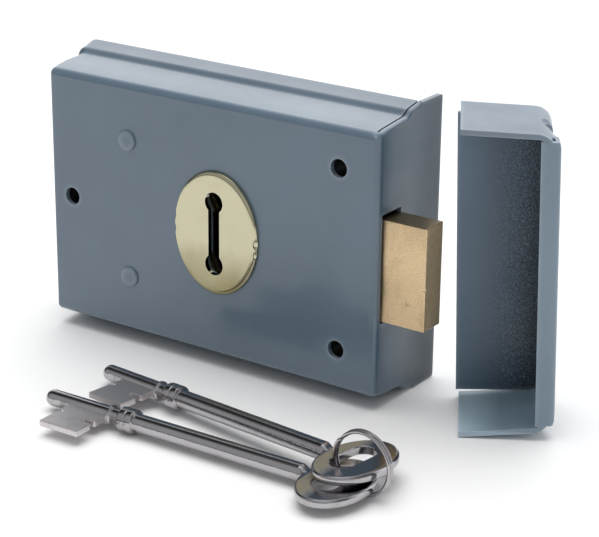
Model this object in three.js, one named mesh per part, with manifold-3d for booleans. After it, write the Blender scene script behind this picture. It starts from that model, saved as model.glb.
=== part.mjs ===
// Double-handed rim deadlock with box staple and two lever keys on a split ring.
// Millimetres, +Z up. The origin is the middle of the lock's rear face, which lies on the door.
// X is the direction the bolt is thrown, -Y points into the room, +Y into the door.
import * as THREE from 'three';
import Module from 'manifold-3d';

const wasm = await Module();
wasm.setup();

// ---- driving dimensions ----
const HALF_W = 57.25;        // half the case width
const HALF_H = 38;           // half the case height at the front face
const FRONT_Y = -22.2;       // room-side face of the case
const SHEET = 1.5;           // case sheet thickness
const FLANGE_Y = 9.7;        // how far the forend reaches behind the door face
const THROW = 13.5;          // bolt travel
const FLOOR_Z = -42;         // lowest level of everything laid beside the lock
const GAP = 0.3;             // clearance between pieces that touch

const WALL_SECTIONS = [      // outward growth of the case walls from front to rear
  { y: -21.3, grow: 0.0 },
  { y: -7.9, grow: 1.3 },
  { y: -5.7, grow: 2.8 },
  { y: 0.0, grow: 3.9 },
];

const KEY_X = 3.85;          // keyhole centre line
const KEY_Z = -0.5;          // middle of the double keyhole
const KEY_SPACING = 9.25;    // keyhole end circles above and below the middle
const PIVOT_X = -28.3;       // lever pivots and cap rivets
const PIVOT_Z = 20.9;
const SCREWS = [[-49.6, -0.15], [44.6, 26.3], [44.6, -26.2]];

const BOLT = { x0: 38, x1: 70.75, y0: -19.1, y1: -10.65, z0: -16, z1: 13.6 };
const TAIL_Y = [-10.35, -8.35];
const LEVER_Y = [[-7.85, -6.35], [-5.85, -4.35]];
const STUMP = { x: 39.5, z: -1.2, r: 2.4 };
const LEVER_TURN = 4 * Math.PI / 180;

const STAPLE = { w: 24.2, d: 27, h: 86, bend: 4.5, lip: 5.2, wallLow: 2.75, draft: 1.6 };
const STAPLE_LEAN = -1.8 * Math.PI / 180;
const STAPLE_AT = [84.15, -21.7, FLOOR_Z];
const STAPLE_YAW = Math.PI / 6;

const BOW_S = 94;            // middle of a key's bow, from the key's tip
const RING = { r: 8.25, wire: 0.62, pitch: 1.32 };

const group = new THREE.Group();

// ---- helpers ----
function addMesh(name, geometry, color, metalness = 0.8) {
  const material = new THREE.MeshStandardMaterial({ color, metalness, roughness: 0.4 });
  material.name = name;
  const mesh = new THREE.Mesh(geometry, material);
  mesh.name = name;
  group.add(mesh);
  return mesh;
}

function weld(geometry) {
  const flat = geometry.index ? geometry.toNonIndexed() : geometry;
  const p = flat.getAttribute('position');
  const seen = new Map();
  const verts = [];
  const tris = [];
  for (let i = 0; i < p.count; i += 3) {
    const ids = [];
    for (let k = 0; k < 3; k += 1) {
      const q = [p.getX(i + k), p.getY(i + k), p.getZ(i + k)].map((v) => Math.round(v * 1e4) / 1e4 + 0);
      const key = q.join(',');
      if (!seen.has(key)) {
        seen.set(key, verts.length / 3);
        verts.push(...q);
      }
      ids.push(seen.get(key));
    }
    if (ids[0] !== ids[1] && ids[1] !== ids[2] && ids[0] !== ids[2]) tris.push(...ids);
  }
  return { verts, tris };
}

function solid(geometry) {
  const { verts, tris } = weld(geometry);
  return new wasm.Manifold(new wasm.Mesh({
    numProp: 3,
    vertProperties: new Float32Array(verts),
    triVerts: new Uint32Array(tris),
  }));
}

function geometryOf(body) {
  const mesh = body.getMesh();
  const g = new THREE.BufferGeometry();
  const p = new Float32Array(mesh.numVert * 3);
  for (let i = 0; i < mesh.numVert; i += 1) {
    for (let k = 0; k < 3; k += 1) p[i * 3 + k] = mesh.vertProperties[i * mesh.numProp + k];
  }
  g.setAttribute('position', new THREE.BufferAttribute(p, 3));
  g.setIndex(Array.from(mesh.triVerts));
  g.computeVertexNormals();
  return g;
}

// A plate whose outline is drawn in X and Z, between two Y levels.
function plate(shape, y0, y1, curveSegments = 8) {
  const g = new THREE.ExtrudeGeometry(shape, { depth: y1 - y0, bevelEnabled: false, curveSegments });
  g.rotateX(Math.PI / 2);
  g.translate(0, y1, 0);
  return g;
}

function box(x0, x1, y0, y1, z0, z1) {
  const g = new THREE.BoxGeometry(x1 - x0, y1 - y0, z1 - z0);
  g.translate((x0 + x1) / 2, (y0 + y1) / 2, (z0 + z1) / 2);
  return g;
}

function polygon(points) {
  return new THREE.Shape(points.map(([x, z]) => new THREE.Vector2(x, z)));
}

// A revolved piece around a line parallel to Y; profile pairs are radius, y.
function turned(profile, x, z, segments = 20) {
  const g = new THREE.LatheGeometry(profile.map(([r, y]) => new THREE.Vector2(r, y)), segments);
  g.translate(x, 0, z);
  return g;
}

function rod(r, y0, y1, x, z, segments = 20) {
  return turned([[0, y0], [r, y0], [r, y1], [0, y1]], x, z, segments);
}

// Closed skin through a stack of equal-length convex rings.
function skin(rings) {
  const n = rings[0].length;
  const p = [];
  const tri = (a, b, c) => p.push(...a, ...b, ...c);
  for (let s = 0; s + 1 < rings.length; s += 1) {
    for (let i = 0; i < n; i += 1) {
      const j = (i + 1) % n;
      tri(rings[s][i], rings[s + 1][i], rings[s + 1][j]);
      tri(rings[s][i], rings[s + 1][j], rings[s][j]);
    }
  }
  const last = rings.length - 1;
  for (let i = 1; i + 1 < n; i += 1) {
    tri(rings[0][0], rings[0][i], rings[0][i + 1]);
    tri(rings[last][0], rings[last][i + 1], rings[last][i]);
  }
  let volume = 0;
  for (let i = 0; i < p.length; i += 9) {
    const a = new THREE.Vector3(p[i], p[i + 1], p[i + 2]);
    const b = new THREE.Vector3(p[i + 3], p[i + 4], p[i + 5]);
    const c = new THREE.Vector3(p[i + 6], p[i + 7], p[i + 8]);
    volume += a.dot(b.cross(c));
  }
  if (volume < 0) {
    for (let i = 0; i < p.length; i += 9) {
      for (let k = 0; k < 3; k += 1) {
        const t = p[i + 3 + k];
        p[i + 3 + k] = p[i + 6 + k];
        p[i + 6 + k] = t;
      }
    }
  }
  const g = new THREE.BufferGeometry();
  g.setAttribute('position', new THREE.BufferAttribute(new Float32Array(p), 3));
  return g;
}

function roundedRing(x0, x1, z0, z1, r, y) {
  const ring = [];
  const corners = [[x1 - r, z1 - r, 0], [x0 + r, z1 - r, 1], [x0 + r, z0 + r, 2], [x1 - r, z0 + r, 3]];
  for (const [cx, cz, q] of corners) {
    for (let i = 0; i <= 3; i += 1) {
      const a = (q + i / 3) * Math.PI / 2;
      ring.push([cx + r * Math.cos(a), y, cz + r * Math.sin(a)]);
    }
  }
  return ring;
}

// Double keyhole: two round ends joined by a slot.
function keyhole(circle, slot) {
  const s = new THREE.Shape();
  const reach = Math.sqrt(circle * circle - slot * slot);
  const a = Math.asin(slot / circle);
  const top = KEY_Z + KEY_SPACING;
  const low = KEY_Z - KEY_SPACING;
  s.moveTo(KEY_X + slot, low + reach);
  s.lineTo(KEY_X + slot, top - reach);
  s.absarc(KEY_X, top, circle, -Math.PI / 2 + a, Math.PI * 1.5 - a, false);
  s.lineTo(KEY_X - slot, low + reach);
  s.absarc(KEY_X, low, circle, Math.PI / 2 + a, Math.PI * 2.5 - a, false);
  return s;
}

// ---- fixed pieces of the lock ----
function caseShell() {
  const outer = [roundedRing(-HALF_W + 0.9, HALF_W - 0.9, -HALF_H + 0.9, HALF_H - 0.9, 1.2, FRONT_Y)];
  const inner = [];
  for (const { y, grow } of WALL_SECTIONS) {
    const x0 = -HALF_W - grow;
    const z1 = HALF_H + grow;
    outer.push(roundedRing(x0, HALF_W, -z1, z1, 1.5, y));
    const yi = y === 0 ? 1 : Math.max(y, FRONT_Y + SHEET);
    inner.push(roundedRing(x0 + SHEET, HALF_W - SHEET, -z1 + SHEET, z1 - SHEET, 0.6, yi));
  }
  let body = solid(skin(outer)).subtract(solid(skin(inner)));
  body = body.add(solid(box(HALF_W - SHEET, HALF_W, -0.2, FLANGE_Y, -HALF_H - 3.9, HALF_H + 3.9)));
  for (const side of [-1, 1]) {
    const z0 = side > 0 ? 35.8 : -44;
    body = body.subtract(solid(box(HALF_W - SHEET - 0.45, HALF_W - SHEET, -19.6, 0.5, z0, z0 + 8.2)));
  }
  body = body.subtract(solid(box(50, 60, -19.9, -10.35, -16.6, 14.9)));
  body = body.subtract(solid(plate(keyhole(3.6, 2.1), FRONT_Y - 1, FRONT_Y + 3)));
  for (const [x, z] of SCREWS) body = body.subtract(solid(rod(2.65, FRONT_Y - 1, FRONT_Y + 3, x, z)));
  for (const side of [-1, 1]) {
    body = body.subtract(solid(rod(2.2, FRONT_Y - 1, FRONT_Y + 3, PIVOT_X, side * PIVOT_Z, 16)));
  }
  addMesh('case_shell', geometryOf(body), 0x6c7983, 0.3);
}

function backPlate() {
  const z1 = HALF_H + 1.7;
  let body = solid(skin([
    roundedRing(-HALF_W - 1.6, HALF_W - SHEET - 0.4, -z1, z1, 1, -SHEET),
    roundedRing(-HALF_W - 1.6, HALF_W - SHEET - 0.4, -z1, z1, 1, 0),
  ]));
  body = body.subtract(solid(plate(keyhole(3.6, 2.1), -3, 1)));
  for (const [x, z] of SCREWS) body = body.subtract(solid(rod(2.65, -3, 1, x, z)));
  for (const side of [-1, 1]) {
    body = body.subtract(solid(rod(2.2, -3, 1, PIVOT_X, side * PIVOT_Z, 16)));
  }
  addMesh('back_plate', geometryOf(body), 0x8a8f94);
}

function escutcheon() {
  const outline = (rx, rz) => {
    const s = new THREE.Shape();
    s.absellipse(KEY_X, KEY_Z, rx, rz, 0, Math.PI * 2, false, 0);
    return s;
  };
  const ring = (rx, rz, y) => outline(rx, rz).getPoints(10).slice(0, -1).map((p) => [p.x, y, p.y]);
  const body = solid(skin([
    ring(13.4, 17.2, FRONT_Y - 1.5),
    ring(14.3, 18.1, FRONT_Y - 1.1),
    ring(14.5, 18.3, FRONT_Y - GAP),
  ])).subtract(solid(plate(keyhole(3.0, 1.6), FRONT_Y - 3, FRONT_Y + 1)));
  addMesh('escutcheon', geometryOf(body), 0xc8c3a5);
}

function pillars() {
  for (const side of [1, -1]) {
    const name = side > 0 ? 'pillar_upper' : 'pillar_lower';
    addMesh(name, turned([
      [0, FRONT_Y - 0.75], [2.2, FRONT_Y - 0.75], [3.1, FRONT_Y - GAP], [1.9, FRONT_Y - GAP],
      [1.9, FRONT_Y + SHEET + GAP], [2.6, FRONT_Y + SHEET + GAP], [2.6, -SHEET - GAP],
      [1.9, -SHEET - GAP], [1.9, -0.1], [0, -0.1],
    ], PIVOT_X, side * PIVOT_Z, 16), 0x8b949b);
  }
}

function screwTubes() {
  SCREWS.forEach(([x, z], i) => {
    const y0 = FRONT_Y + SHEET + GAP;
    const y1 = -SHEET - GAP;
    addMesh(`screw_tube_${i + 1}`, turned([[2.65, y0], [4.2, y0], [4.2, y1], [2.65, y1], [2.65, y0]], x, z, 16),
      0x9a9ea2);
  });
}

// ---- bolt ----
const RIVET_Z = [9, -9];
const RIVET_X = 43.5;

function boltHead() {
  const { x0, x1, y0, y1, z0, z1 } = BOLT;
  const ring = (x, c) => [
    [x, y0 + c, z0], [x, y1 - c, z0], [x, y1, z0 + c], [x, y1, z1 - c],
    [x, y1 - c, z1], [x, y0 + c, z1], [x, y0, z1 - c], [x, y0, z0 + c],
  ];
  let body = solid(skin([ring(x0, 0.4), ring(x1 - 0.4, 0.4), ring(x1, 0.8)]));
  for (const z of RIVET_Z) body = body.subtract(solid(rod(2.1, -14.3, -9, RIVET_X, z, 16)));
  addMesh('bolt_head', geometryOf(body), 0xb89a62);
}

function boltTail() {
  const half = [
    [-30, 6], [-36, 8], [-36, 29], [38.5, 29], [38.5, 20], [47, 18],
  ];
  const outline = [...half, ...half.map(([x, z]) => [x, -z]).reverse()];
  let body = solid(plate(polygon(outline), TAIL_Y[0], TAIL_Y[1]));
  const window = [
    [-12.5, -15], [-12.5, 15], [-8.6, 22.6], [30, 22.6], [33.6, 18], [33.6, -18], [30, -22.6], [-8.6, -22.6],
  ];
  body = body.subtract(solid(plate(polygon(window), -12, -8)));
  for (const side of [-1, 1]) {
    const z = side * PIVOT_Z;
    body = body.subtract(solid(box(PIVOT_X, PIVOT_X + THROW, -12, -8, z - 2.95, z + 2.95)));
    body = body.subtract(solid(rod(2.95, -12, -8, PIVOT_X, z, 16)));
    body = body.subtract(solid(rod(2.95, -12, -8, PIVOT_X + THROW, z, 16)));
    const talon = side * 24.2;
    body = body.subtract(solid(box(7, 14.2, -12, -8, talon - 1.8, talon + 1.8)));
  }
  for (const z of RIVET_Z) body = body.subtract(solid(rod(2.1, -12, -8, RIVET_X, z, 16)));
  body = body.subtract(solid(rod(1.8, -12, -8, STUMP.x, STUMP.z, 16)));
  addMesh('bolt_tail', geometryOf(body), 0x8d9398);
}

function boltFixings() {
  RIVET_Z.forEach((z, i) => {
    addMesh(`bolt_rivet_${i + 1}`, rod(1.8, -14, -8.4, RIVET_X, z, 16), 0xa7abb0);
  });
  addMesh('bolt_stump', turned([
    [0, -10.3], [1.5, -10.3], [1.5, -8.05], [STUMP.r, -8.05], [STUMP.r, -4], [0, -4],
  ], STUMP.x, STUMP.z, 16), 0x9a9ea2);
}

// ---- levers ----
// Where the stump ends in a lever's own rest position when the bolt is drawn and the lever turned.
function gateEnd(pivotZ) {
  const dx = STUMP.x - THROW - PIVOT_X;
  const dz = STUMP.z - pivotZ;
  const c = Math.cos(LEVER_TURN);
  const s = Math.sin(LEVER_TURN);
  return [PIVOT_X + dx * c - dz * s, pivotZ + dx * s + dz * c];
}

function lever(index, side) {
  const pivotZ = side * PIVOT_Z;
  const [y0, y1] = LEVER_Y[index];
  const outline = [
    [-34, 12], [-34, 27], [-31, 29], [34, 29], [37, 26], [37, 15], [46.5, 13], [46.5, -10],
    [37, -12], [37, -26], [34, -29], [-14, -29], [-16, -26], [-16, 8],
  ].map(([x, z]) => [x, z * side]);
  let body = solid(plate(polygon(side > 0 ? outline : outline.reverse()), y0, y1));
  for (const s of [-1, 1]) {
    body = body.subtract(solid(rod(15.4, y0 - 1, y1 + 1, KEY_X, KEY_Z + s * KEY_SPACING, 28)));
  }
  const r = STUMP.r + 0.45;
  const [ex, ez] = gateEnd(pivotZ);
  const len = Math.hypot(ex - STUMP.x, ez - STUMP.z);
  const nx = -(ez - STUMP.z) / len * r;
  const nz = (ex - STUMP.x) / len * r;
  const gate = [
    [STUMP.x + nx, STUMP.z + nz], [ex + nx, ez + nz], [ex - nx, ez - nz], [STUMP.x - nx, STUMP.z - nz],
  ];
  body = body.subtract(solid(plate(polygon(gate), y0 - 1, y1 + 1)));
  body = body.subtract(solid(rod(r, y0 - 1, y1 + 1, STUMP.x, STUMP.z)));
  body = body.subtract(solid(rod(r, y0 - 1, y1 + 1, ex, ez)));
  body = body.subtract(solid(rod(2.95, y0 - 1, y1 + 1, PIVOT_X, pivotZ, 16)));
  addMesh(`lever_${index + 1}`, geometryOf(body), 0xb49a63);
}

class CoilCurve extends THREE.Curve {
  constructor(x, y, z0, z1, radius, turns) {
    super();
    Object.assign(this, { x, y, z0, z1, radius, turns });
  }

  getPoint(t, target = new THREE.Vector3()) {
    const a = t * this.turns * Math.PI * 2;
    return target.set(
      this.x + this.radius * Math.cos(a),
      this.y + this.radius * Math.sin(a),
      this.z0 + (this.z1 - this.z0) * t,
    );
  }
}

function wireShape(r, sides) {
  const s = new THREE.Shape();
  for (let i = 0; i < sides; i += 1) {
    const a = i / sides * Math.PI * 2;
    if (i === 0) s.moveTo(r, 0);
    else s.lineTo(r * Math.cos(a), r * Math.sin(a));
  }
  s.closePath();
  return s;
}

function leverSprings() {
  [[28, 0], [18, 1]].forEach(([x, layer]) => {
    const y = (LEVER_Y[layer][0] + LEVER_Y[layer][1]) / 2;
    const path = new CoilCurve(x, y, -35.8, -29.9, 1.4, 3.5);
    const g = new THREE.ExtrudeGeometry(wireShape(0.3, 6), { steps: 40, bevelEnabled: false, extrudePath: path });
    addMesh(`lever_spring_${layer + 1}`, g, 0xb0b4b8);
  });
}

// ---- box staple ----
// Built with X across from the open door-frame side to the room face, Y back from the mouth.
function staple() {
  const { w, d, h, bend, lip, wallLow, draft } = STAPLE;
  const arc = (cx, cz, r, a0) => [0, 1, 2, 3, 4].map((i) => {
    const a = a0 + i / 4 * Math.PI / 2;
    return [cx + r * Math.cos(a), cz + r * Math.sin(a)];
  });
  const band = [
    [0, 0], ...arc(w - bend, bend, bend, -Math.PI / 2), ...arc(w - bend, h - bend, bend, 0), [0, h],
    [0, h - SHEET], ...arc(w - bend, h - bend, bend - SHEET, 0).reverse(),
    ...arc(w - bend, bend, bend - SHEET, -Math.PI / 2).reverse(), [0, SHEET],
  ];
  const fold = [
    [w + SHEET - lip, 0], [w + 0.5, 0], [w + 1.2, 0.3], [w + SHEET, 1], [w + SHEET, 4.2], [w, 6.6],
    [w - SHEET, 6.6], [w, 3.6], [w, SHEET], [w + SHEET - lip, SHEET],
  ];
  const foldGeometry = new THREE.ExtrudeGeometry(polygon(fold), { depth: h - 4, bevelEnabled: false });
  foldGeometry.translate(0, 0, 2);
  const face = [
    [w - 8, 0], ...arc(w - bend, bend, bend + SHEET, -Math.PI / 2),
    ...arc(w - bend, h - bend, bend + SHEET, 0), [w - 8, h],
  ];
  let body = solid(plate(polygon(band), 0, d));
  body = body.subtract(solid(box(w - SHEET - 0.1, w + 0.1, -1, 5.2, 3.2, h - 3.2)));
  body = body.add(solid(foldGeometry).intersect(solid(plate(polygon(face), -1, 9))));
  const flared = geometryOf(body);
  const p = flared.getAttribute('position');
  for (let i = 0; i < p.count; i += 1) {
    const spread = draft * p.getX(i) / w;
    p.setZ(i, p.getZ(i) + spread * (1 - 2 * p.getZ(i) / h));
  }
  const wall = [
    [-0.8, wallLow], [w - 3.2, wallLow], [w - 0.7, 6.2], [w - 0.7, h - 6.2], [w - 3.2, h - wallLow],
    [-0.8, h - wallLow],
  ];
  body = solid(flared).add(solid(plate(polygon(wall), d - SHEET, d)));
  for (const z of [6, h - 6]) {
    const hole = new THREE.CylinderGeometry(3, 3, 9, 16);
    hole.rotateZ(Math.PI / 2);
    hole.translate(w, d * 0.55, z);
    body = body.subtract(solid(hole));
  }
  const g = geometryOf(body);
  g.rotateY(STAPLE_LEAN);
  g.rotateZ(STAPLE_YAW);
  g.translate(...STAPLE_AT);
  addMesh('staple', g, 0x8d98a2, 0.3);
}

// ---- keys and ring ----
function keyGeometry() {
  const along = (profile, segments) => {
    const g = new THREE.LatheGeometry(profile.map(([s, r]) => new THREE.Vector2(r, s)), segments);
    g.rotateZ(-Math.PI / 2);
    return g;
  };
  let body = solid(along([
    [0, 0], [0.15, 1.1], [0.9, 2.0], [1.8, 2.35], [22.6, 2.35], [22.7, 2.9], [24.1, 2.9], [24.3, 2.3],
    [25.6, 2.3], [25.8, 3.5], [27.6, 3.5], [27.9, 2.9], [28.6, 2.9], [28.9, 3.5], [30.9, 3.5], [31.2, 2.6],
    [81.5, 2.6], [86.4, 1.2], [87.5, 1.2], [87.5, 0],
  ], 16));
  const bit = polygon([
    [9.4, 0], [9.4, -6.2], [10.7, -6.2], [10.7, -7.3], [9.4, -7.3], [9.4, -15],
    [22.2, -15], [22.2, -8.9], [18.8, -8.9], [18.8, -7.5], [22.2, -7.5], [22.2, 0],
  ].reverse());
  const bitGeometry = new THREE.ExtrudeGeometry(bit, { depth: 2, bevelEnabled: false });
  bitGeometry.translate(0, 0, -1);
  body = body.add(solid(bitGeometry));
  const oval = (cx, rx, ry, z) => {
    const s = new THREE.Shape();
    s.absellipse(cx, 0, rx, ry, 0, Math.PI * 2, false, 0);
    return s.getPoints(8).slice(0, -1).map((p) => [p.x, p.y, z]);
  };
  const bow = solid(skin([
    oval(BOW_S, 9.0, 12.9, -1.25), oval(BOW_S, 9.4, 13.3, -0.85),
    oval(BOW_S, 9.4, 13.3, 0.85), oval(BOW_S, 9.0, 12.9, 1.25),
  ]));
  const hole = new THREE.Shape();
  hole.absarc(BOW_S - 1, 4.3, 3.5, 0, Math.PI, false);
  hole.absarc(BOW_S - 1, -3.7, 3.5, Math.PI, Math.PI * 2, false);
  const holeGeometry = new THREE.ExtrudeGeometry(hole, { depth: 6, bevelEnabled: false, curveSegments: 10 });
  holeGeometry.translate(0, 0, -3);
  body = body.add(bow).subtract(solid(holeGeometry));
  return geometryOf(body);
}

const FRONT_KEY = { at: [-17.3, -71.6, -38.5], yaw: 1.2, rise: 0 };
const REAR_KEY = { at: [-15.4, -49.1, -38.5], yaw: -8.1, rise: 1.95 };

function keys() {
  for (const [name, pose] of [['front_key', FRONT_KEY], ['rear_key', REAR_KEY]]) {
    const g = keyGeometry();
    g.rotateY(-pose.rise * Math.PI / 180);
    g.rotateZ(pose.yaw * Math.PI / 180);
    g.translate(...pose.at);
    addMesh(name, g, 0xc9ccd0);
  }
}

class RingCurve extends THREE.Curve {
  getPoint(t, target = new THREE.Vector3()) {
    const a = (t * 2 - 0.02) * Math.PI * 2 + 2.6;
    return target.set(RING.r * Math.cos(a), RING.pitch * 2 * (t - 0.5), RING.r * Math.sin(a));
  }
}

const RING_AT = [81.7, -65.3, FLOOR_Z + RING.r + RING.wire];
const RING_YAW = -4;

function keyRing() {
  const g = new THREE.ExtrudeGeometry(wireShape(RING.wire, 8), {
    steps: 64, bevelEnabled: false, extrudePath: new RingCurve(),
  });
  g.rotateZ(RING_YAW * Math.PI / 180);
  g.translate(...RING_AT);
  addMesh('key_ring', g, 0xc9ccd0);
}

caseShell();
backPlate();
escutcheon();
pillars();
screwTubes();
boltHead();
boltTail();
boltFixings();
lever(0, 1);
lever(1, -1);
leverSprings();
staple();
keys();
keyRing();

export default group;
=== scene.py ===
"""Looks for the rim lock, its box staple and its keys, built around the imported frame."""
import math

import bmesh
import bpy
from mathutils import Matrix, Vector


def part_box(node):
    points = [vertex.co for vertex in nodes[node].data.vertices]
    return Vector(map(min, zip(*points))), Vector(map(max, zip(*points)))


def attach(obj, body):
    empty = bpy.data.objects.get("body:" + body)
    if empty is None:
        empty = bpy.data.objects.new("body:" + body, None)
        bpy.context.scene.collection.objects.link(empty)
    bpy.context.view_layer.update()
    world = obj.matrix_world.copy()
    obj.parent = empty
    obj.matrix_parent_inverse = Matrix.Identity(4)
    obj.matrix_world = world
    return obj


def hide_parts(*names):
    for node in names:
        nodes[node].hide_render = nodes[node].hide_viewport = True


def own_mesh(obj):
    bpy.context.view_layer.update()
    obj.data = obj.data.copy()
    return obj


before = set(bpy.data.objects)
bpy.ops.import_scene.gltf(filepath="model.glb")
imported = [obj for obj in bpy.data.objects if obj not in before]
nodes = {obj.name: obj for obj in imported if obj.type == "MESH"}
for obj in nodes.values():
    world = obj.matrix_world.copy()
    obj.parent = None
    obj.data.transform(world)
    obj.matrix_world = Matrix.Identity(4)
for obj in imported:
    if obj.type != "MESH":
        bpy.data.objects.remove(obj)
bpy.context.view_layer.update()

MM = 0.001


# ---- sizes in millimetres, read from the frame where it holds them ----
def box_mm(node):
    low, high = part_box(node)
    return [v / MM for v in low], [v / MM for v in high]


CASE_LOW, CASE_HIGH = box_mm("case_shell")
ESC_LOW, ESC_HIGH = box_mm("escutcheon")
BOLT_LOW, BOLT_HIGH = box_mm("bolt_head")
FLOOR_Z = box_mm("staple")[0][2]
FRONT_Y = CASE_LOW[1]
FLANGE_Y = CASE_HIGH[1]
HALF_W = CASE_HIGH[0]
HALF_H = 38.0       # half the case height at its front face
SHEET = 1.5
KEY_X = (ESC_LOW[0] + ESC_HIGH[0]) / 2
KEY_Z = (ESC_LOW[2] + ESC_HIGH[2]) / 2
KEY_SPACING = 9.25  # from the middle of the keyhole to each round end
SCREWS = [(-49.6, -0.15), (44.6, 26.3), (44.6, -26.2)]

# depths between which the case walls lean out, step out (the joggle) and lean out again
DRAFT_Y = -21.3, -7.9
JOGGLE_Y = -8.1, -5.5
TAIL_Y = -5.7, 0.0

# the staple is drawn with X from its open side to the room face and Y back from the mouth
STAPLE_W, STAPLE_D, STAPLE_H, STAPLE_BEND, STAPLE_LIP = 24.2, 27.0, 86.0, 4.5, 5.2
STAPLE_DRAFT = 1.6
STAPLE_WALL_LOW = 2.75
STAPLE_AT = Vector((84.15, -21.7, -42.0))
STAPLE_YAW = math.radians(30)
STAPLE_LEAN = math.radians(-1.8)

BOW_S = 94.0                # from a key's tip to the middle of its bow
KEY_FLAT_Z = FLOOR_Z + 3.5  # level of a key's axis when it lies flat on its collars


# ---- mesh helpers, all in millimetres ----
def new_object(name, verts, faces):
    """A smooth mesh with its normals outward, from points in millimetres."""
    mesh = bpy.data.meshes.new(name)
    mesh.from_pydata([Vector(v) * MM for v in verts], [], faces)
    mesh.validate()
    obj = bpy.data.objects.new(name, mesh)
    bpy.context.scene.collection.objects.link(obj)
    bm = bmesh.new()
    bm.from_mesh(mesh)
    bmesh.ops.remove_doubles(bm, verts=bm.verts, dist=1e-7)
    bmesh.ops.recalc_face_normals(bm, faces=bm.faces)
    for f in bm.faces:
        f.smooth = True
    bm.to_mesh(mesh)
    bm.free()
    return obj


def apply_modifiers(obj):
    """Turns what the modifiers give into the object's own mesh."""
    depsgraph = bpy.context.evaluated_depsgraph_get()
    baked = bpy.data.meshes.new_from_object(obj.evaluated_get(depsgraph))
    old = obj.data
    obj.modifiers.clear()
    obj.data = baked
    bpy.data.meshes.remove(old)


def combine(obj, other, operation="DIFFERENCE"):
    """Applies other to obj and removes it."""
    mod = obj.modifiers.new("cut", "BOOLEAN")
    mod.object = other
    mod.operation = operation
    mod.solver = "EXACT"
    apply_modifiers(obj)
    bpy.data.objects.remove(other)


def even_normals(obj):
    """Lets the large faces set the normals, so flats stay flat beside the bevels."""
    mod = obj.modifiers.new("normals", "WEIGHTED_NORMAL")
    mod.keep_sharp = True
    mod.weight = 50
    apply_modifiers(obj)


def soften(obj, width, segments, angle):
    """Bevels every edge sharper than angle degrees, width in millimetres."""
    mod = obj.modifiers.new("soften", "BEVEL")
    mod.width = width * MM
    mod.segments = segments
    mod.limit_method = "ANGLE"
    mod.angle_limit = math.radians(angle)
    mod.miter_outer = "MITER_ARC"
    apply_modifiers(obj)
    smooth(obj)


def smooth(obj):
    for f in obj.data.polygons:
        f.use_smooth = True


def stack(name, rings):
    """A closed skin through rings that all have the same number of points."""
    n = len(rings[0])
    verts = [p for ring in rings for p in ring]
    faces = []
    for s in range(len(rings) - 1):
        for i in range(n):
            j = (i + 1) % n
            faces.append((s * n + i, (s + 1) * n + i, (s + 1) * n + j, s * n + j))
    faces.append(tuple(range(n)))
    faces.append(tuple((len(rings) - 1) * n + i for i in reversed(range(n))))
    return new_object(name, verts, faces)


def ball(name, at, radius, subdivisions=3):
    """A ball for cutting nicks and the staple's relief."""
    bm = bmesh.new()
    bmesh.ops.create_icosphere(bm, subdivisions=subdivisions, radius=radius * MM)
    bmesh.ops.translate(bm, verts=bm.verts, vec=Vector(at) * MM)
    mesh = bpy.data.meshes.new(name)
    bm.to_mesh(mesh)
    bm.free()
    obj = bpy.data.objects.new(name, mesh)
    bpy.context.scene.collection.objects.link(obj)
    return obj


def angles(start, turn, steps):
    """Evenly spaced angles from start through turn, both ends included."""
    return [start + turn * i / steps for i in range(steps + 1)]


def full_circle(count):
    return [i / count * math.tau for i in range(count)]


def rounded_ring(x0, x1, z0, z1, radii, y, steps=7):
    """Rounded rectangle in X and Z; radii go right-top, left-top, left-low, right-low."""
    ring = []
    centres = [(x1, z1, -1, -1), (x0, z1, 1, -1), (x0, z0, 1, 1), (x1, z0, -1, 1)]
    for q, ((cx, cz, sx, sz), r) in enumerate(zip(centres, radii)):
        for i in range(steps + 1):
            a = (q + i / steps) * math.pi / 2
            ring.append((cx + sx * r + r * math.cos(a), y, cz + sz * r + r * math.sin(a)))
    return ring


def block(name, x0, x1, y0, y1, z0, z1):
    return prism_y(name, [(x0, z0), (x1, z0), (x1, z1), (x0, z1)], y0, y1)


def prism_y(name, outline, y0, y1):
    """An outline in X and Z, between two levels of Y."""
    return stack(name, [[(x, y0, z) for x, z in outline], [(x, y1, z) for x, z in outline]])


def prism_z(name, outline, z0, z1):
    """An outline in X and Y, between two levels of Z."""
    return stack(name, [[(x, y, z0) for x, y in outline], [(x, y, z1) for x, y in outline]])


def circle(cx, cz, r, count=40):
    return [(cx + r * math.cos(a), cz + r * math.sin(a)) for a in full_circle(count)]


def turned_y(name, profile, x, z, count):
    """A profile of radius and Y, turned about the line through x and z."""
    rings = [[(px, y, pz) for px, pz in circle(x, z, max(r, 1e-4), count)] for r, y in profile]
    return stack(name, rings)


def keyhole_outline(end_r, slot_half):
    """Two round ends joined by a slot."""
    a = math.asin(slot_half / end_r)
    out = []
    for side in (1, -1):
        for t in angles(a - side * math.pi / 2, math.tau - 2 * a, 28):
            out.append((KEY_X + end_r * math.cos(t), KEY_Z + side * KEY_SPACING + end_r * math.sin(t)))
    return out


def part_way(y, start, end):
    """0 up to start, 1 from end on, and straight in between."""
    return min(1.0, max(0.0, (y - start) / (end - start)))


def grow(y):
    """How far the case walls have spread outward at depth y."""
    t = part_way(y, *JOGGLE_Y)
    return 1.3 * part_way(y, *DRAFT_Y) + 1.5 * t * t * (3 - 2 * t) + 1.1 * part_way(y, *TAIL_Y)


# ---- materials ----
def material(name):
    m = bpy.data.materials.new(name)
    m.use_nodes = True
    nt = m.node_tree
    nt.nodes.clear()
    out = nt.nodes.new("ShaderNodeOutputMaterial")
    bsdf = nt.nodes.new("ShaderNodeBsdfPrincipled")
    nt.links.new(bsdf.outputs[0], out.inputs[0])
    return m, nt, bsdf


def position(nt):
    return nt.nodes.new("ShaderNodeTexCoord").outputs["Object"]


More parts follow.
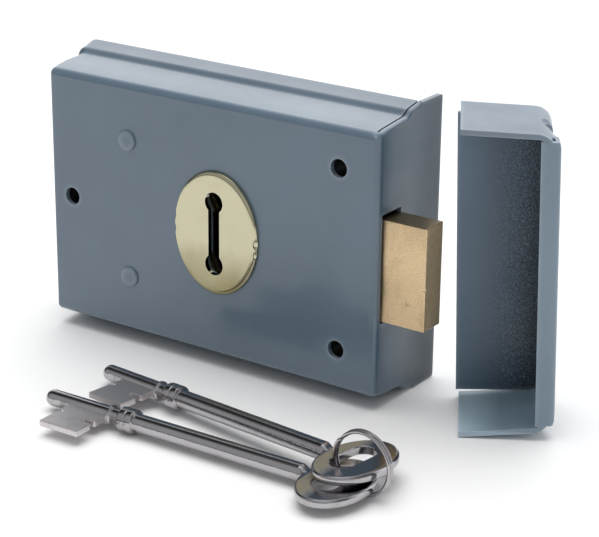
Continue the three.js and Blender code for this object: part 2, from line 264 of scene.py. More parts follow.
def noise_node(nt, vector, scale, detail=4.0, roughness=0.55, stretch=None):
    """Noise with about scale cells per metre; stretch scales each axis, for a grain."""
    if stretch:
        mapping = nt.nodes.new("ShaderNodeMapping")
        mapping.inputs["Scale"].default_value = stretch
        nt.links.new(vector, mapping.inputs["Vector"])
        vector = mapping.outputs[0]
    n = nt.nodes.new("ShaderNodeTexNoise")
    n.inputs["Scale"].default_value = scale
    n.inputs["Detail"].default_value = detail
    n.inputs["Roughness"].default_value = roughness
    nt.links.new(vector, n.inputs["Vector"])
    return n.outputs["Fac"]


def ramp(nt, fac, stops):
    """Colours at positions along 0 to 1."""
    r = nt.nodes.new("ShaderNodeValToRGB")
    els = r.color_ramp.elements
    while len(els) < len(stops):
        els.new(0.5)
    for el, (pos, col) in zip(els, stops):
        el.position = pos
        el.color = (*col, 1.0)
    nt.links.new(fac, r.inputs["Fac"])
    return r.outputs["Color"]


def grey(v):
    return (v, v, v)


def mix(nt, fac, a, b, mode="MIX"):
    m = nt.nodes.new("ShaderNodeMix")
    m.data_type = "RGBA"
    m.blend_type = mode
    for value, socket in ((fac, m.inputs[0]), (a, m.inputs[6]), (b, m.inputs[7])):
        if hasattr(value, "links"):
            nt.links.new(value, socket)
        elif isinstance(value, (int, float)):
            socket.default_value = value
        else:
            socket.default_value = (*value, 1.0)
    return m.outputs[2]


def maths(nt, op, a, b):
    m = nt.nodes.new("ShaderNodeMath")
    m.operation = op
    for value, socket in zip((a, b), m.inputs):
        if hasattr(value, "links"):
            nt.links.new(value, socket)
        else:
            socket.default_value = value
    return m.outputs[0]


def times(nt, a, b):
    return maths(nt, "MULTIPLY", a, b)


def split(nt, vector):
    """The X, Y and Z of a vector socket."""
    parts = nt.nodes.new("ShaderNodeSeparateXYZ")
    nt.links.new(vector, parts.inputs[0])
    return parts.outputs


def normal_parts(nt):
    return split(nt, nt.nodes.new("ShaderNodeNewGeometry").outputs["Normal"])


def span(nt, value, low, high, to_low=0.0, to_high=1.0):
    """Runs from to_low to to_high while value runs from low to high, and stays level outside."""
    r = nt.nodes.new("ShaderNodeMapRange")
    nt.links.new(value, r.inputs["Value"])
    for key, v in (("From Min", low), ("From Max", high), ("To Min", to_low), ("To Max", to_high)):
        r.inputs[key].default_value = v
    return r.outputs[0]


def spot(nt, pos, at, outer, inner, strength=1.0):
    """A round spot about a point in millimetres: full inside the inner radius, gone at the outer."""
    away = nt.nodes.new("ShaderNodeVectorMath")
    away.operation = "DISTANCE"
    nt.links.new(pos, away.inputs[0])
    away.inputs[1].default_value = Vector(at) * MM
    return span(nt, away.outputs["Value"], outer * MM, inner * MM, 0.0, strength)


def bumps(nt, bsdf, layers):
    """Stacks bump nodes; each layer is height socket, strength, distance in metres."""
    last = None
    for height, strength, distance in layers:
        b = nt.nodes.new("ShaderNodeBump")
        b.inputs["Strength"].default_value = strength
        b.inputs["Distance"].default_value = distance
        nt.links.new(height, b.inputs["Height"])
        if last:
            nt.links.new(last, b.inputs["Normal"])
        last = b.outputs[0]
    nt.links.new(last, bsdf.inputs["Normal"])


def edge_mask(nt, radius, low=0.72, high=0.97):
    """Bright on convex edges: compares the true normal with a softened one."""
    bevel = nt.nodes.new("ShaderNodeBevel")
    bevel.samples = 6
    bevel.inputs["Radius"].default_value = radius
    geo = nt.nodes.new("ShaderNodeNewGeometry")
    dot = nt.nodes.new("ShaderNodeVectorMath")
    dot.operation = "DOT_PRODUCT"
    nt.links.new(bevel.outputs[0], dot.inputs[0])
    nt.links.new(geo.outputs["Normal"], dot.inputs[1])
    return span(nt, dot.outputs["Value"], high, low)


def staple_axes(nt):
    """The coordinates that the staple is drawn in, in metres, but without its lean."""
    shift = nt.nodes.new("ShaderNodeVectorMath")
    shift.operation = "SUBTRACT"
    nt.links.new(position(nt), shift.inputs[0])
    shift.inputs[1].default_value = STAPLE_AT * MM
    turn = nt.nodes.new("ShaderNodeVectorRotate")
    turn.rotation_type = "Z_AXIS"
    turn.inputs["Angle"].default_value = -STAPLE_YAW
    nt.links.new(shift.outputs[0], turn.inputs["Vector"])
    return split(nt, turn.outputs[0])


def paint(name, base, light, dark, rough=(0.32, 0.48), peel=0.06, shade=None, dull=None, painted_top_light=0.0):
    """Stoved paint: cloudy tone, fine dust, thin worn edges, faint orange peel and a few small chips, with
    painted light on upward faces and a painted highlight on rounded bends.
    """
    m, nt, bsdf = material(name)
    pos = position(nt)
    cloud = noise_node(nt, pos, 26, 5)
    fine = noise_node(nt, pos, 900, 3)
    speck = noise_node(nt, pos, 2600, 2)
    colour = ramp(nt, cloud, [(0.3, dark), (0.52, base), (0.74, light)])
    if shade:
        colour = mix(nt, 1.0, colour, shade(nt, pos), "MULTIPLY")
    dust = ramp(nt, speck, [(0.62, grey(0.0)), (0.72, grey(1.0))])
    colour = mix(nt, times(nt, dust, 0.1), colour, light)
    # painted light: upward faces are lightened toward a pale grey
    if painted_top_light:
        upward = normal_parts(nt)[2]
        film = times(nt, span(nt, upward, 0.7, 0.97, 0.0, painted_top_light), span(nt, cloud, 0.3, 0.7, 0.8, 1.2))
        colour = mix(nt, film, colour, (0.62, 0.67, 0.72))
    chips = ramp(nt, noise_node(nt, pos, 330, 2, 0.4), [(0.775, grey(0.0)), (0.79, grey(1.0))])
    colour = mix(nt, times(nt, chips, 0.4), colour, tuple(c * 0.35 for c in dark))
    edge = edge_mask(nt, 0.0007)
    patch = ramp(nt, noise_node(nt, pos, 260, 4), [(0.42, grey(0.25)), (0.62, grey(1.0))])
    # painted highlight: the rounded bends are lightened toward a pale blue grey
    fold = times(nt, edge_mask(nt, 0.0026, 0.8, 0.995), 0.22)
    colour = mix(nt, fold, colour, (0.40, 0.47, 0.53))
    wear = times(nt, times(nt, edge, patch), 0.5)
    colour = mix(nt, wear, colour, (0.5, 0.56, 0.62))
    nt.links.new(colour, bsdf.inputs["Base Color"])
    rgh = ramp(nt, noise_node(nt, pos, 60, 5), [(0.3, grey(rough[0])), (0.7, grey(rough[1]))])
    nt.links.new(rgh, bsdf.inputs["Roughness"])
    bsdf.inputs["Metallic"].default_value = 0.0
    bsdf.inputs["Specular IOR Level"].default_value = 0.5
    bsdf.inputs["Coat Weight"].default_value = 0.8
    bsdf.inputs["Coat Roughness"].default_value = 0.14
    if dull:
        nt.links.new(dull(nt, pos), bsdf.inputs["Coat Weight"])
    bumps(nt, bsdf, [(fine, peel, 0.0004), (cloud, 0.08, 0.0006), (chips, -0.2, 0.0001)])
    return m


def on_forend(nt, x, off=0.0, on=1.0):
    return span(nt, x, (HALF_W - 0.45) * MM, (HALF_W - 0.15) * MM, off, on)


def case_shade(nt, pos):
    """Painted shade toward the back and low down on the flange, a forend darkened as painted shade, and a
    painted highlight where the folds meet at its top.
    """
    x, y, z = split(nt, pos)
    # painted shade: darker toward the back of the case, most of all low down on the flange
    low = span(nt, z, 0.03, -0.034, 0.5, 1.0)
    rear_shade = ramp(nt, times(nt, span(nt, y, -0.014, 0.004), low), [(0.0, grey(1.0)), (1.0, grey(0.22))])
    # painted shade: the forend's outer face is darkened and cooled
    forend = mix(nt, on_forend(nt, x), (1.0, 1.0, 1.0), (0.62, 0.73, 0.78))
    colour = mix(nt, 1.0, rear_shade, forend, "MULTIPLY")
    # painted highlight: a small bright patch where the folds meet
    corner = (HALF_W - 1.9, FRONT_Y + 0.6, HALF_H - 0.8)
    patch = ramp(nt, noise_node(nt, pos, 900, 2), [(0.42, grey(0.0)), (0.6, grey(1.0))])
    return mix(nt, times(nt, spot(nt, pos, corner, 1.3, 0.4, 0.8), patch), colour, (3.6, 2.7, 2.2))


def case_dull(nt, pos):
    """Less gloss on the forend and toward the door."""
    x, y = split(nt, pos)[:2]
    return times(nt, span(nt, y, -0.006, 0.003, 0.8, 0.25), on_forend(nt, x, 1.0, 0.4))


def inner_wall(nt, y):
    """The inner side of the staple's far wall, which faces the open front."""
    depth = span(nt, y, (STAPLE_D - 2.4) * MM, (STAPLE_D - 1.8) * MM)
    return times(nt, depth, span(nt, normal_parts(nt)[1], -0.2, -0.5))


def staple_dull(nt, pos):
    """The far wall was hardly reached by the paint, so it has next to no gloss."""
    return span(nt, inner_wall(nt, staple_axes(nt)[1]), 0.0, 1.0, 0.35, 0.08)


def staple_shade(nt, pos):
    """Thin dark speckled paint on the far wall, darker toward the inner corner and the foot partly from
    thinner paint and partly as painted shade; painted light on the bottom plate and painted shade on the top
    face.
    """
    x, y, z = staple_axes(nt)
    # the speckle is the wall's own thin paint; the darkening toward the inner corner and the bottom is
    # partly thinner paint and partly painted shade
    across = span(nt, x, 0.0, 0.0225)
    tone = times(nt, span(nt, across, 0.0, 1.0, 0.665, 0.1), span(nt, z, 0.004, 0.03, 0.75, 1.0))
    grain = ramp(nt, noise_node(nt, pos, 2300, 3, 0.75),
                 [(0.37, grey(0.15)), (0.5, grey(0.8)), (0.61, grey(2.9))])
    tone = times(nt, tone, mix(nt, span(nt, across, 0.28, 0.8), grey(1.0), grain))
    tint = mix(nt, 1.0, tone, (0.88, 1.0, 1.12), "MULTIPLY")
    # painted light: the bottom plate is lightened, most toward the open side
    foot = times(nt, span(nt, z, 0.0026, 0.0018), span(nt, x, 0.022, 0.008, 0.35, 1.0))
    # painted shade: the top face is darkened
    outer = mix(nt, span(nt, z, 0.082, 0.0845), (1.0, 1.0, 1.0), (0.76, 0.74, 0.76))
    return mix(nt, inner_wall(nt, y), mix(nt, foot, outer, (2.0, 1.9, 1.8)), tint)


def metal(name, base, dark, rough=(0.18, 0.34), grain=None, scratch=0.12, edge_tint=None, tarnish=0.25,
          pit=0.03, tone=None, film=None):
    """Bare or plated metal: cloudy tarnish, drawn grain, brighter rubbed edges, uneven polish."""
    m, nt, bsdf = material(name)
    pos = position(nt)
    cloud = noise_node(nt, pos, 45, 6)
    streak = noise_node(nt, pos, 420, 3, 0.6, grain or (1, 1, 1))
    hair = noise_node(nt, pos, 1900, 2, 0.5, grain or (1, 1, 1))
    spots = ramp(nt, noise_node(nt, pos, 130, 6, 0.7), [(0.52, grey(0.0)), (0.7, grey(1.0))])
    colour = mix(nt, times(nt, spots, tarnish), base, dark)
    colour = mix(nt, times(nt, cloud, 0.3), colour, tuple(c * 0.86 for c in base))
    if edge_tint:
        colour = mix(nt, times(nt, edge_mask(nt, 0.0006), 0.7), colour, edge_tint)
    if tone:
        colour = tone(nt, pos, colour)
    nt.links.new(colour, bsdf.inputs["Base Color"])
    bsdf.inputs["Metallic"].default_value = 1.0
    if film:
        nt.links.new(film(nt, pos), bsdf.inputs["Metallic"])
    level = mix(nt, 0.5, streak, cloud)
    rgh = ramp(nt, level, [(0.3, grey(rough[0])), (0.68, grey(rough[1]))])
    rgh = mix(nt, times(nt, spots, 0.5), rgh, grey(rough[1] + 0.12))
    nt.links.new(rgh, bsdf.inputs["Roughness"])
    bumps(nt, bsdf, [(hair, scratch, 0.00012), (streak, scratch * 0.6, 0.0002), (cloud, pit, 0.0008)])
    return m


CASE_TONES = (0.088, 0.137, 0.187), (0.101, 0.154, 0.208), (0.077, 0.122, 0.168)
PAINT = paint("case_paint", *CASE_TONES, shade=case_shade, dull=case_dull, painted_top_light=0.21)
RIVET_PAINT = paint("rivet_paint", *CASE_TONES)
STAPLE_PAINT = paint("staple_paint", (0.179, 0.249, 0.310), (0.200, 0.273, 0.339), (0.156, 0.221, 0.282),
                     shade=staple_shade, dull=staple_dull)


def bolt_film(nt, pos):
    """The end of the bolt is dulled by an oxide film."""
    end = BOLT_HIGH[0]
    return span(nt, split(nt, pos)[0], (end - 0.55) * MM, (end - 0.25) * MM, 1.0, 0.6)


def bow_band(nt, pos):
    """Where the plating is rubbed through to brass: the stem side of both bows' upper faces."""
    x = split(nt, pos)[0]
    along = times(nt, span(nt, x, 0.0688, 0.0698), span(nt, x, 0.0768, 0.0735))
    flat = times(nt, along, span(nt, normal_parts(nt)[2], 0.95, 0.99))
    patch = ramp(nt, noise_node(nt, pos, 1100, 5, 0.7), [(0.36, grey(0.6)), (0.6, grey(1.0))])
    return times(nt, flat, patch)


def worn_bow(nt, pos, colour):
    return mix(nt, bow_band(nt, pos), colour, (0.27, 0.23, 0.145))


def worn_film(nt, pos):
    return span(nt, bow_band(nt, pos), 0.0, 1.0, 1.0, 0.25)


def browner_low_edge(nt, pos, colour):
    """The escutcheon is browner toward its lower edge."""
    cloud = span(nt, noise_node(nt, pos, 70, 4), 0.3, 0.7, -0.003, 0.003)
    level = maths(nt, "ADD", split(nt, pos)[2], cloud)
    return mix(nt, span(nt, level, -0.005, -0.017), colour, (0.27, 0.235, 0.125))


def bolt_grain(nt, pos, colour):
    """Cast-brass grain, a painted dark reflection on the top face, and a mark on the front face."""
    grain = ramp(nt, noise_node(nt, pos, 3200, 3, 0.7),
                 [(0.32, grey(0.62)), (0.5, grey(1.0)), (0.68, grey(1.22))])
    colour = mix(nt, 0.8, colour, grain, "MULTIPLY")
    top = BOLT_HIGH[2]
    # painted reflection: the top face is darkened toward a dark brown
    top_reflection = span(nt, split(nt, pos)[2], (top - 0.35) * MM, (top - 0.1) * MM)
    colour = mix(nt, times(nt, top_reflection, 0.75), colour, (0.16, 0.12, 0.06))
    at = (BOLT_HIGH[0] - 5.25, BOLT_LOW[1], -8.8)
    patch = ramp(nt, noise_node(nt, pos, 1500, 2), [(0.45, grey(0.0)), (0.55, grey(1.0))])
    return mix(nt, times(nt, spot(nt, pos, at, 0.9, 0.3), patch), colour, (0.16, 0.12, 0.08))


BRASS_BOLT = metal("bolt_brass", (0.84, 0.63, 0.385), (0.36, 0.26, 0.15), (0.26, 0.4), (1, 6, 6), 0.35,
                   (0.95, 0.86, 0.68), 0.35, 0.06, tone=bolt_grain, film=bolt_film)
BRASS_PALE = metal("pale_brass", (0.54, 0.51, 0.36), (0.36, 0.32, 0.2), (0.1, 0.2), (6, 1, 1), 0.1,
                   (0.86, 0.84, 0.70), 0.22, 0.03, tone=browner_low_edge)
NICKEL = metal("key_nickel", (0.46, 0.445, 0.46), (0.18, 0.17, 0.16), (0.035, 0.11), (1, 5, 5), 0.09,
               (0.9, 0.89, 0.88), 0.4, 0.045, tone=worn_bow, film=worn_film)
NICKEL_SATIN = metal("key_satin", (0.72, 0.68, 0.68), (0.46, 0.42, 0.41), (0.42, 0.58), (3, 1, 1), 0.2,
                     (0.85, 0.83, 0.82), 0.3, 0.05)
STEEL = metal("dull_steel", (0.46, 0.47, 0.48), (0.2, 0.19, 0.18), (0.3, 0.5), tarnish=0.35)
BLACKED = metal("blacked_steel", (0.08, 0.08, 0.085), (0.04, 0.04, 0.04), (0.35, 0.55), tarnish=0.35)
ZINC = metal("zinc_plate", (0.58, 0.60, 0.62), (0.34, 0.34, 0.33), (0.28, 0.46), tarnish=0.35, pit=0.08)
SPRING = metal("spring_wire", (0.52, 0.53, 0.55), (0.25, 0.24, 0.23), (0.2, 0.34), scratch=0.08)
# tarnished brass, darkened further as painted shade, since the levers sit in the dark inside the case behind
# the keyhole
LEVER = metal("lever_brass", (0.24, 0.18, 0.085), (0.10, 0.07, 0.03), (0.26, 0.42), (1, 8, 1), 0.15,
              tarnish=0.3)


def dress(obj, mat, body, node):
    """Gives a piece its material and body, and lets it stand in for its CAD node."""
    obj.data.materials.clear()
    obj.data.materials.append(mat)
    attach(obj, body)
    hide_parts(node)


# ---- case ----
def case_walls():
    """The front sheet folded back into four walls, hollow, with the joggle all round but the forend."""
    bend = 2.2
    outer, inner = [], []
    for a in angles(0.0, math.pi / 2, 8):
        inset = bend * (1 - math.sin(a))
        r = max(0.12, 1.25 - 0.5 * inset)
        outer.append(rounded_ring(-HALF_W + 0.4 * inset, HALF_W - inset, -HALF_H + inset, HALF_H - inset,
                                  (r, r, r, r), FRONT_Y + bend * (1 - math.cos(a))))
    start, end = JOGGLE_Y
    joggle = [start + (end - start) * k / 8 for k in range(1, 9)]
    depths = [-18, -14, -11, -9, -8.2] + joggle + [-4.5, -2.5, 0.0]
    for y in depths:
        g = grow(y)
        r = 1.25 + 2.6 * part_way(y, -14, -4)
        outer.append(rounded_ring(-HALF_W - g, HALF_W, -HALF_H - g, HALF_H + g, (1.0, r, r, 1.0), y))
    for y in [FRONT_Y + SHEET] + depths[:-1] + [1.5]:
        g = grow(y) - SHEET
        r = 0.6 + 2.0 * part_way(y, -14, -4)
        inner.append(rounded_ring(-HALF_W - g, HALF_W - SHEET, -HALF_H - g, HALF_H + g, (0.5, r, r, 0.5), y))
    shell = stack("case_skin", outer)
    combine(shell, stack("hollow", inner))
    return shell


def flange():
    """The forend reaches behind the case, with small round corners."""
    reach, corner = HALF_H + 3.95, 0.7
    outline = [(-6.0, -reach + 1.2), (-0.8, -reach)]
    outline += [(FLANGE_Y - corner + corner * math.sin(a), -reach + corner - corner * math.cos(a))
                for a in angles(0.0, math.pi / 2, 8)]
    outline += [(y, -z) for y, z in reversed(outline)]
    plate = stack("flange", [[(x, y, z) for y, z in outline] for x in (HALF_W - SHEET, HALF_W)])
    combine(plate, block("clip", HALF_W - 5, HALF_W + 5, -0.6, 20, -60, 60), "INTERSECT")
    return plate


def cut_seams(shell):
    """Open seams, with a round relief at the fold, where top and bottom walls stop at the forend."""
    inside = HALF_W - SHEET
    for z0, z1 in ((HALF_H - 2.6, 50), (-50, -HALF_H + 2.6)):
        combine(shell, block("seam", inside - 0.62, inside, FRONT_Y + 2.0, 0.6, z0, z1))
        wall = math.copysign(HALF_H - 0.4, z0 + z1)
        combine(shell, prism_z("relief", circle(inside - 0.3, FRONT_Y + 2.2, 0.42, 20), wall - 3, wall + 3))


def build_case():
    """The painted case with its screw holes, keyhole opening and bolt slot."""
    shell = case_walls()
    combine(shell, flange(), "UNION")
    cut_seams(shell)
    for x, z in SCREWS:
        combine(shell, prism_y("hole", circle(x, z, 2.65), FRONT_Y - 2, FRONT_Y + 4))
    combine(shell, prism_y("aperture", keyhole_outline(3.8, 2.5), FRONT_Y - 2, FRONT_Y + 4))
    combine(shell, block("slot", HALF_W - 8, HALF_W + 4, BOLT_LOW[1] - 0.8, BOLT_HIGH[1] + 0.3,
                         BOLT_LOW[2] - 0.6, BOLT_HIGH[2] + 1.3))
    soften(shell, 0.28, 3, 38)
    even_normals(shell)
    dress(shell, PAINT, "lock", "case_shell")


def build_pillars():
    """Pillars between the sheets, riveted over: their flat heads show on the front and the back."""
    inner_front, inner_back = FRONT_Y + SHEET + 0.3, -SHEET - 0.3
    for node in ("pillar_upper", "pillar_lower"):
        low, high = box_mm(node)
        x, z, back = (low[0] + high[0]) / 2, (low[2] + high[2]) / 2, high[1]
        profile = [(0, FRONT_Y - 0.72), (2.5, FRONT_Y - 0.72), (2.8, FRONT_Y - 0.66), (3.0, FRONT_Y - 0.5),
                   (3.1, FRONT_Y - 0.3), (3.1, FRONT_Y), (1.9, FRONT_Y + 0.02), (1.9, inner_front),
                   (2.6, inner_front), (2.6, inner_back), (1.9, inner_back), (1.9, back), (0, back)]
        pillar = turned_y(node + "_turned", profile, x, z, 56)
        soften(pillar, 0.06, 2, 34)
        even_normals(pillar)
        dress(pillar, RIVET_PAINT, "lock", node)
        pillar.data.materials.append(STEEL)
        for f in pillar.data.polygons:
            f.material_index = int(f.center.y > (FRONT_Y + SHEET) * MM)


def build_escutcheon():
    """An oval plate with a rolled edge; each level is half width, half height and lift off the front."""
    levels = [(14.5, 18.3, 0.02), (14.52, 18.32, 0.55), (14.42, 18.22, 0.85), (14.2, 18.0, 1.12),
              (13.85, 17.65, 1.34), (13.4, 17.2, 1.46), (12.9, 16.7, 1.5), (11.5, 15.2, 1.5)]
    plate = stack("escutcheon_plate", [
        [(KEY_X + rx * math.cos(a), FRONT_Y - lift, KEY_Z + rz * math.sin(a)) for a in full_circle(96)]
        for rx, rz, lift in levels])
    combine(plate, prism_y("hole", keyhole_outline(3.1, 1.95), FRONT_Y - 4, FRONT_Y + 2))
    # small staking dents at both ends of the oval's short axis
    for side, heights, depth in ((-1, (2.9, -0.9), 0.1), (1, (-3.8, -0.4), -0.5)):
        for z in heights:
            cone = [(2.15, FRONT_Y - 4), (2.15, FRONT_Y - 0.9), (1.3, FRONT_Y + depth)]
            combine(plate, turned_y("dent", cone, KEY_X + side * 15.6, KEY_Z + z, 32))
    soften(plate, 0.22, 3, 30)
    even_normals(plate)
    dress(plate, BRASS_PALE, "lock", "escutcheon")


def build_bolt():
    """The thrown brass block."""
    lo, hi = BOLT_LOW, BOLT_HIGH
    bar = block("bolt_bar", lo[0], hi[0], lo[1], hi[1], lo[2], hi[2])
    soften(bar, 0.32, 3, 30)
    even_normals(bar)
    # two small nicks in the outer front edge
    combine(bar, ball("nick", (hi[0] + 0.25, lo[1] - 0.3, 1.2), 0.7))
    combine(bar, ball("nick", (hi[0] + 0.2, lo[1] - 0.25, -3.9), 0.8))
    dress(bar, BRASS_BOLT, "bolt", "bolt_head")


# ---- staple ----
def build_staple():
    """A band folded round the top, room face and foot, with a far wall, a step and a folded strip."""
    w, d, h, bend, lip, t = STAPLE_W, STAPLE_D, STAPLE_H, STAPLE_BEND, STAPLE_LIP, SHEET

    def arc(cx, cz, r, start):
        return [(cx + r * math.cos(a), cz + r * math.sin(a)) for a in angles(start, math.pi / 2, 10)]

    band = [(0, 0)] + arc(w - bend, bend, bend, -math.pi / 2) + arc(w - bend, h - bend, bend, 0) + [(0, h)]
    band += [(0, h - t)] + arc(w - bend, h - bend, bend - t, 0)[::-1]
    band += arc(w - bend, bend, bend - t, -math.pi / 2)[::-1] + [(0, t)]
    body = prism_y("staple_skin", band, 0, d)
    combine(body, block("gap", w - t - 0.1, w + 0.1, -1, 5.4, 3.2, h - 3.2))
    # the room face steps out by one sheet at the mouth and folds over as a narrow strip
    r = 1.6
    fold = [(w + t - lip, 0)]
    fold += [(w + t - r + r * math.sin(a), r - r * math.cos(a)) for a in angles(0.0, math.pi / 2, 8)]
    fold += [(w + t, 4.0), (w + t - 0.25, 4.7), (w + 0.5, 5.8), (w + 0.1, 6.4), (w, 7.2), (w - t, 7.2),
             (w - t, 6.0), (w - t + 0.4, 5.0), (w - 0.2, 4.2), (w, 3.6), (w, t), (w + t - lip, t)]
    strip = prism_z("strip", fold, 2.0, h - 2.0)
    face = [(w - 9, 0)] + arc(w - bend, bend, bend + t, -math.pi / 2)
    face += arc(w - bend, h - bend, bend + t, 0) + [(w - 9, h)]
    combine(strip, prism_y("face", face, -2, 10), "INTERSECT")
    combine(body, strip, "UNION")
    # top and bottom close in toward the room face
    for v in body.data.vertices:
        x, z = v.co.x / MM, v.co.z / MM
        v.co.z += STAPLE_DRAFT * MM * x / w * (1 - 2 * z / h)
    low = STAPLE_WALL_LOW
    wall = [(-0.8, low), (w - 3.2, low), (w - 0.7, 6.2),
            (w - 0.7, h - 6.2), (w - 3.2, h - low), (-0.8, h - low)]
    combine(body, prism_y("wall", wall, d - t, d), "UNION")
    for z in (6, h - 6):
        outline = circle(d * 0.55, z, 3, 32)
        combine(body, stack("hole", [[(x, py, pz) for py, pz in outline] for x in (w - 4.5, w + 4.5)]))
    # a shallow pressed relief on the upper bend, behind the step
    combine(body, ball("relief", (w + 2.3, 14, h + 0.5), 6, subdivisions=4))
    soften(body, 0.28, 3, 32)
    even_normals(body)
    turn = (Matrix.Translation(STAPLE_AT * MM) @ Matrix.Rotation(STAPLE_YAW, 4, "Z")
            @ Matrix.Rotation(STAPLE_LEAN, 4, "Y"))
    body.data.transform(turn)
    dress(body, STAPLE_PAINT, "box_staple", "staple")


# ---- keys ----
def key_stem(name):
    """Turned about X: distance from the tip and radius, through rounded tip, two collars and shoulder."""
    tip = [(0, 0.0), (0.05, 0.6), (0.3, 1.3), (0.8, 1.9), (1.5, 2.25), (2.3, 2.38)]
    first_collar = [(21.8, 2.38), (21.95, 2.5), (22.05, 2.72), (22.25, 2.84), (22.75, 2.84), (22.95, 2.72),
                    (23.1, 2.5), (23.3, 2.42)]
    second_collar = [(25.6, 2.42), (25.75, 2.6), (25.85, 3.1), (26.1, 3.36), (26.5, 3.46), (27.9, 3.48),
                     (28.15, 3.36), (28.3, 3.2), (28.45, 3.36), (28.7, 3.5), (30.2, 3.48), (30.55, 3.36),
                     (30.75, 3.05), (30.85, 2.7)]
    shank = [(31.1, 2.6), (50, 2.6), (65, 2.6), (83.4, 2.6)]
    shoulder = [(83.7, 2.5), (86.4, 1.25), (87.6, 1.15), (87.6, 0.0)]
    profile = tip + first_collar + second_collar + shank + shoulder
    return stack(name, [[(s, y, z) for y, z in circle(0, 0, max(r, 1e-3), 48)] for s, r in profile])


def key_bit():
    """A flat bit with two ward cuts."""
    outline = [(9.4, 0), (9.4, -6.0), (10.9, -6.2), (10.9, -7.2), (9.4, -7.4), (9.4, -15), (22.2, -15),
               (22.2, -9.2), (21.6, -8.9), (18.8, -8.9), (18.8, -7.6), (21.7, -7.5), (22.2, -7.2), (22.2, 0)]
    blade = prism_z("blade", outline, -0.9, 0.9)
    soften(blade, 0.28, 3, 30)
    return blade


def key_bow():
    """An oval with rounded rims and a round-ended eye; each level is half length and height."""
    upper = [(9.42, 0.0), (9.35, 0.7), (9.1, 1.08), (8.7, 1.23), (8.2, 1.25)]
    levels = [(rx, -z) for rx, z in reversed(upper)] + upper[1:]
    bow = stack("bow", [[(BOW_S + rx * math.cos(a), (rx + 3.9) * math.sin(a), z) for a in full_circle(80)]
                        for rx, z in levels])
    eye = [(BOW_S - 1 + 3.5 * math.cos(a), centre + 3.5 * math.sin(a))
           for centre, start in ((4.3, 0.0), (-3.7, math.pi)) for a in angles(start, math.pi, 16)]
    combine(bow, prism_z("eye", eye, -4, 4))
    soften(bow, 0.4, 3, 40)
    return bow


def build_key(name, node, body, at, yaw, rise):
    """A key drawn along X from its tip, then turned by yaw and tipped up by rise degrees."""
    key = key_stem(name)
    combine(key, key_bit(), "UNION")
    combine(key, key_bow(), "UNION")
    smooth(key)
    even_normals(key)
    on_bit = [f.center.y < -2.5 * MM and f.center.x < 23 * MM for f in key.data.polygons]
    turn = (Matrix.Translation(Vector(at) * MM) @ Matrix.Rotation(math.radians(yaw), 4, "Z")
            @ Matrix.Rotation(-math.radians(rise), 4, "Y"))
    key.data.transform(turn)
    dress(key, NICKEL, body, node)
    key.data.materials.append(NICKEL_SATIN)
    for f, satin in zip(key.data.polygons, on_bit):
        f.material_index = int(satin)


def build_ring():
    """Two turns of wire side by side, standing on the floor."""
    radius, wire, pitch, turns = 8.35, 0.5, 1.12, 2
    steps, sides = 220, 14
    centre = Vector((81.7, -65.3, FLOOR_Z + radius + wire))
    yaw = Matrix.Rotation(math.radians(-4), 3, "Z")
    side = Vector((0, 1, 0))
    rings = []
    for k in range(steps + 1):
        t = k / steps
        a = (t * turns - 0.02) * math.tau + 2.6
        out = Vector((math.cos(a), 0, math.sin(a)))
        mid = out * radius + side * (pitch * turns * (t - 0.5))
        w = wire * (0.75 if k in (0, steps) else 1.0)
        rings.append([centre + yaw @ (mid + out * (w * math.cos(b)) + side * (w * math.sin(b)))
                      for b in full_circle(sides)])
    dress(stack("split_ring", rings), NICKEL, "ring", "key_ring")


def build_springs():
    """Coil springs under the levers."""
    sides, steps, turns, coil, wire = 10, 84, 3.5, 1.4, 0.3
    for index, keep in ((1, 0.44), (2, 0.54)):
        node = "lever_spring_%d" % index
        low, high = box_mm(node)
        x, y = (low[0] + high[0]) / 2, (low[1] + high[1]) / 2
        rise = high[2] - low[2] - 2 * wire
        rings = []
        for k in range(steps + 1):
            t = k / steps
            a = t * turns * math.tau
            out = Vector((math.cos(a), math.sin(a), 0))
            mid = Vector((x, y, low[2] + wire + rise * t)) + out * coil
            rings.append([mid + out * (wire * math.cos(b)) + Vector((0, 0, wire * math.sin(b)))
                          for b in full_circle(sides)])
        spring = stack("spring_coil_%d" % index, rings)
        dress(spring, SPRING, "lock", node)
        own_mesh(spring)


build_case()
build_springs()
build_pillars()
build_escutcheon()
build_bolt()
build_staple()
build_key("key_front", "front_key", "key_a", (-17.3, -71.6, KEY_FLAT_Z), 1.2, 0)
build_key("key_rear", "rear_key", "key_b", (-15.4, -49.1, KEY_FLAT_Z), -8.1, 1.95)
build_ring()

# ---- CAD nodes that keep their shape ----
KEPT_NODES = {
    "back_plate": ZINC, "screw_tube_1": BLACKED, "screw_tube_2": BLACKED, "screw_tube_3": BLACKED,
    "bolt_tail": ZINC, "bolt_rivet_1": STEEL, "bolt_rivet_2": STEEL, "bolt_stump": STEEL,
    "lever_1": LEVER, "lever_2": LEVER,
}
for node, mat in KEPT_NODES.items():
    obj = nodes[node]
    obj.data.materials.clear()
    obj.data.materials.append(mat)


# ---- stage ----
def build_floor():
    """A white floor just under the lowest piece."""
    m, nt, bsdf = material("studio_floor")
    pos = position(nt)
    tone = ramp(nt, noise_node(nt, pos, 3, 2), [(0.3, grey(0.86)), (0.7, grey(0.9))])
    nt.links.new(tone, bsdf.inputs["Base Color"])
    bsdf.inputs["Roughness"].default_value = 0.7
    reach = 6.0
    z = FLOOR_Z * MM - 0.0002
    corners = [(-reach, -reach, z), (reach, -reach, z), (reach, reach, z), (-reach, reach, z)]
    mesh = bpy.data.meshes.new("floor")
    mesh.from_pydata(corners, [], [(0, 1, 2, 3)])
    floor = bpy.data.objects.new("floor", mesh)
    bpy.context.scene.collection.objects.link(floor)
    mesh.materials.append(m)


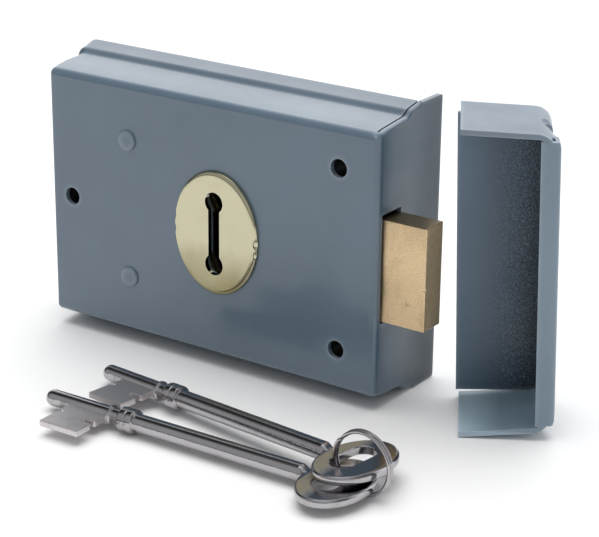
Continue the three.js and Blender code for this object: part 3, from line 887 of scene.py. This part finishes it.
def area_light(name, at, size, power, colour=(1, 1, 1)):
    """A square lamp that looks at the origin and doesn't show in reflections."""
    data = bpy.data.lights.new(name, "AREA")
    data.shape = "RECTANGLE"
    data.size = size
    data.size_y = size
    data.energy = power
    data.color = colour
    obj = bpy.data.objects.new(name, data)
    obj.location = at
    obj.rotation_euler = (-Vector(at)).to_track_quat("-Z", "Y").to_euler()
    obj.visible_glossy = False
    bpy.context.scene.collection.objects.link(obj)


def build_world():
    """A dark studio: a soft panel in front, a bright ceiling, and a pale low wall behind."""
    world = bpy.data.worlds.new("studio")
    bpy.context.scene.world = world
    world.use_nodes = True
    nt = world.node_tree
    x, y, z = split(nt, nt.nodes.new("ShaderNodeTexCoord").outputs["Generated"])
    panel_height = times(nt, span(nt, z, 0.02, 0.16), span(nt, z, 0.96, 0.8))
    front = times(nt, span(nt, y, -0.12, -0.45, 0.0, 0.44), panel_height)
    back = times(nt, span(nt, y, 0.2, 0.6, 0.0, 1.15), span(nt, z, 0.9, 0.76))
    ceiling = span(nt, z, 0.87, 0.97, 0.0, 0.9)
    side = span(nt, x, 0.2, 0.8, 0.04, 0.18)
    tone = maths(nt, "ADD", maths(nt, "ADD", front, back), maths(nt, "ADD", ceiling, side))
    background = nt.nodes["Background"]
    background.inputs[0].default_value = (0.97, 0.985, 1.0, 1.0)
    nt.links.new(tone, background.inputs[1])


def build_stage():
    build_floor()
    build_world()
    area_light("top_box", (-0.15, 0.1, 1.3), 1.6, 21, (1.0, 0.99, 0.98))
    area_light("front_right", (0.55, -0.85, 0.6), 0.6, 0.4)
    bpy.context.scene.view_settings.view_transform = "Standard"


# the photo's view, fitted to the edges of the case; the angles are azimuth, elevation and roll
CAMERA_AT = Vector((321.30, -444.64, 187.11))
CAMERA_ANGLES = 34.38, 20.57, 0.65
CAMERA_LENS = 119.1


def build_camera():
    data = bpy.data.cameras.new("camera")
    data.sensor_fit = "HORIZONTAL"
    data.sensor_width = 36.0
    data.lens = CAMERA_LENS
    data.clip_start = 0.01
    data.clip_end = 20
    camera = bpy.data.objects.new("camera", data)
    azimuth, elevation, roll = [math.radians(v) for v in CAMERA_ANGLES]
    back = Vector((math.sin(azimuth) * math.cos(elevation), -math.cos(azimuth) * math.cos(elevation),
                   math.sin(elevation)))
    right = Vector((0, 0, 1)).cross(back).normalized()
    up = back.cross(right)
    rolled_right = right * math.cos(roll) + up * math.sin(roll)
    rolled_up = up * math.cos(roll) - right * math.sin(roll)
    placing = Matrix((rolled_right, rolled_up, back)).transposed().to_4x4()
    placing.translation = CAMERA_AT * MM
    camera.matrix_world = placing
    bpy.context.scene.collection.objects.link(camera)
    bpy.context.scene.camera = camera


build_stage()
build_camera()
